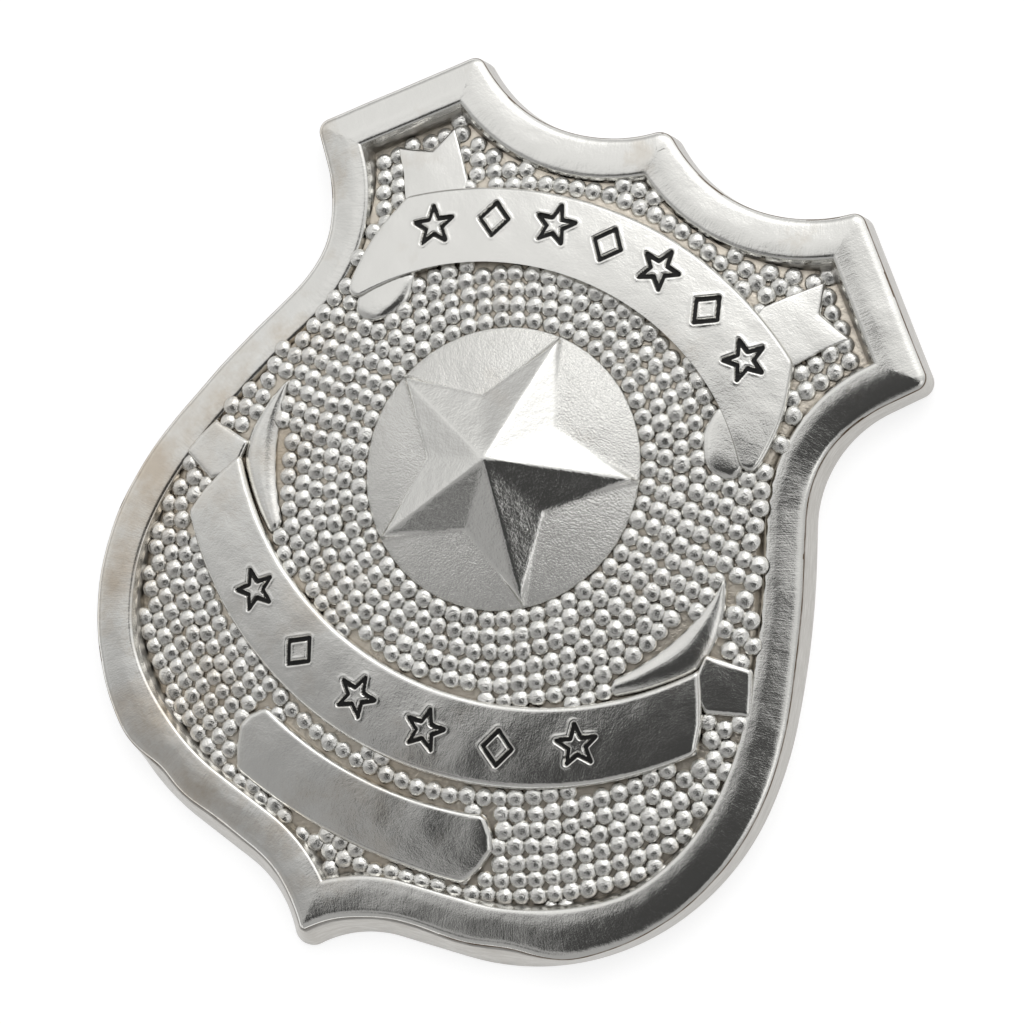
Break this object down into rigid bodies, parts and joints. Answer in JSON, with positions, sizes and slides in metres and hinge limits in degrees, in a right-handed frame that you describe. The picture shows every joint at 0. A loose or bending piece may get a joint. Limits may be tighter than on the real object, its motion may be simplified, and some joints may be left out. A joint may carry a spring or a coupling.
{
  "type": "police badge",
  "caption": "Shield-shaped metal badge with a raised rim, beaded domed field, five-pointed star on a boss, two ribbons with punched marks, a blank banner and a back pin.",
  "frame": {"origin": "centre of the bounding box in X and Y, on the plane that the rim's back lies on", "axes": "+X to the right as the face is seen, +Y towards the shield's top point, +Z out of the face"},
  "size_m": [0.0546, 0.0642, 0.0084],
  "materials": {
    "nickel_plate": "satin nickel-plated zinc alloy, lightly tarnished, marks filled black",
    "pin_steel": "plain bright steel"
  },
  "bodies": {
    "root": {"shield": "nickel_plate", "brooch_pin": "pin_steel"}
  },
  "joints": []
}
